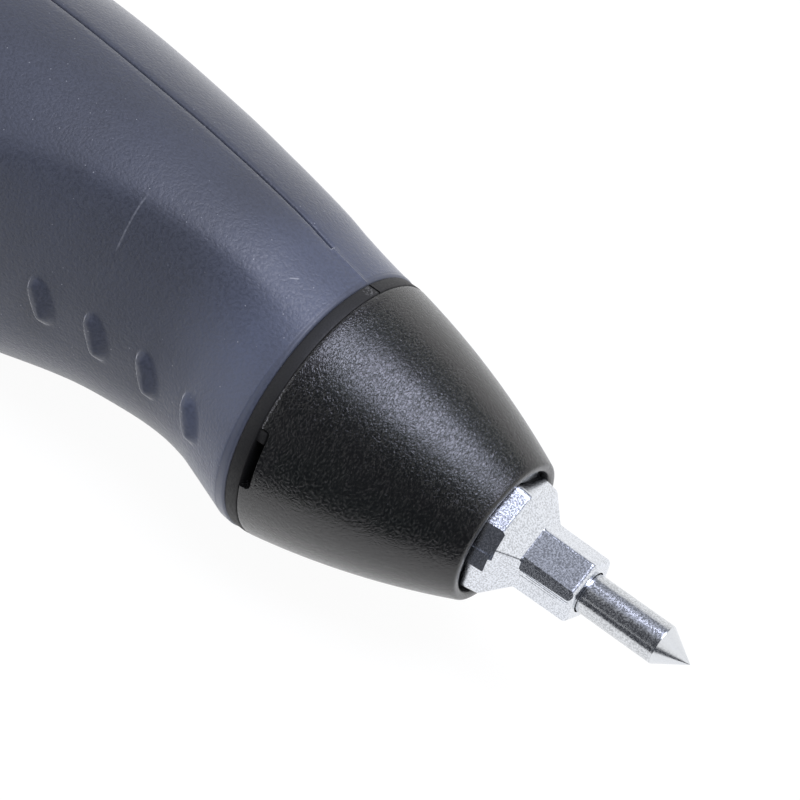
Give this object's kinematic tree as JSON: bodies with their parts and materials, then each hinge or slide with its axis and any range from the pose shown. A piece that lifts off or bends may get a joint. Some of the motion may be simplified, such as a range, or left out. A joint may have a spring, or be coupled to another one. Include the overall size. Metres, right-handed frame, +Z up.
{
  "type": "electric engraver",
  "caption": "Hand held vibrating engraver: tapered waisted two-half housing, twist-off nose cone, die-cast holder with a conical point, stroke wheel and slide switch.",
  "frame": {"origin": "on the tool axis, where the engraving point leaves its holder", "axes": "+X along the tool axis to the tip, +Z up with the slide switch on top, the housing halves meet in Y = 0"},
  "size_m": [0.1783, 0.0366, 0.0377],
  "materials": {
    "housing_plastic": "satin spark-eroded moulding",
    "nose_plastic": "semi-gloss with a leathery grain",
    "collar_plastic": "matte moulding",
    "die_cast": "as cast, frosty, with parting lines",
    "tool_steel": "rough shank, ground cone",
    "plain_steel": "turned",
    "soft_iron": "plain",
    "bronze": "sintered",
    "copper": "enamelled wire",
    "tinned_brass": "tinned",
    "black_rubber": "matte",
    "bobbin_plastic": "natural",
    "wheel_plastic": "fine grain",
    "slider_plastic": "fine grain",
    "switch_plastic": "smooth",
    "clamp_plastic": "plain",
    "lead_brown": "smooth insulation",
    "lead_blue": "smooth insulation",
    "cap_plastic": "translucent nylon",
    "zinc_screw": "zinc plated"
  },
  "bodies": {
    "housing": {"bearing_carrier": "collar_plastic", "front_bush": "bronze", "front_bumper": "black_rubber", "housing_left": "housing_plastic", "housing_right": "housing_plastic", "yoke_front_plate": "soft_iron", "yoke_rear_plate": "soft_iron", "yoke_side_stacks": "soft_iron", "pole_piece": "soft_iron", "coil_bobbin": "bobbin_plastic", "coil_winding": "copper", "coil_terminals": "tinned_brass", "return_spring": "plain_steel", "thrust_washer": "plain_steel", "switch_body": "switch_plastic", "switch_terminals": "tinned_brass", "coil_to_switch_lead": "lead_brown", "switch_to_splice_lead": "lead_brown", "coil_to_splice_lead": "lead_blue", "splice_caps": "cap_plastic", "cord_inlet_bush": "black_rubber", "cord_clamp": "clamp_plastic", "cord_clamp_screws": "zinc_screw", "housing_screws": "zinc_screw"},
    "nose": {"nose_cone": "nose_plastic"},
    "striker": {"engraving_point": "tool_steel", "bit_holder": "die_cast", "point_set_screw": "plain_steel", "striker_rod": "plain_steel", "stop_collar": "plain_steel", "plunger": "soft_iron"},
    "wheel": {"stroke_wheel": "wheel_plastic"},
    "seat": {"spring_seat": "plain_steel"},
    "slider": {"switch_slider": "slider_plastic"}
  },
  "joints": [
    {"name": "nose_twist", "type": "hinge", "parent": "housing", "child": "nose", "pos_m": [-0.0305, 0, 0], "axis": [-1, 0, 0], "range_deg": [0, 19]},
    {"name": "striker_slide", "type": "slide", "parent": "housing", "child": "striker", "axis": [-1, 0, 0], "range_m": [0, 0.0012], "stiffness_N_per_m": 1500, "springref_m": -0.004, "deforming": ["return_spring"]},
    {"name": "wheel_turn", "type": "hinge", "parent": "housing", "child": "wheel", "pos_m": [-0.1299, 0, 0], "axis": [1, 0, 0], "range_deg": [-150, 150]},
    {"name": "seat_feed", "type": "slide", "parent": "housing", "child": "seat", "axis": [1, 0, 0], "range_m": [-0.00063, 0.00063]},
    {"name": "switch_slide", "type": "slide", "parent": "housing", "child": "slider", "axis": [1, 0, 0], "range_m": [0, 0.004]}
  ],
  "couplings": [
    {"joint": "seat_feed", "follows": "wheel_turn", "m_per_rad": -0.00023873}
  ]
}
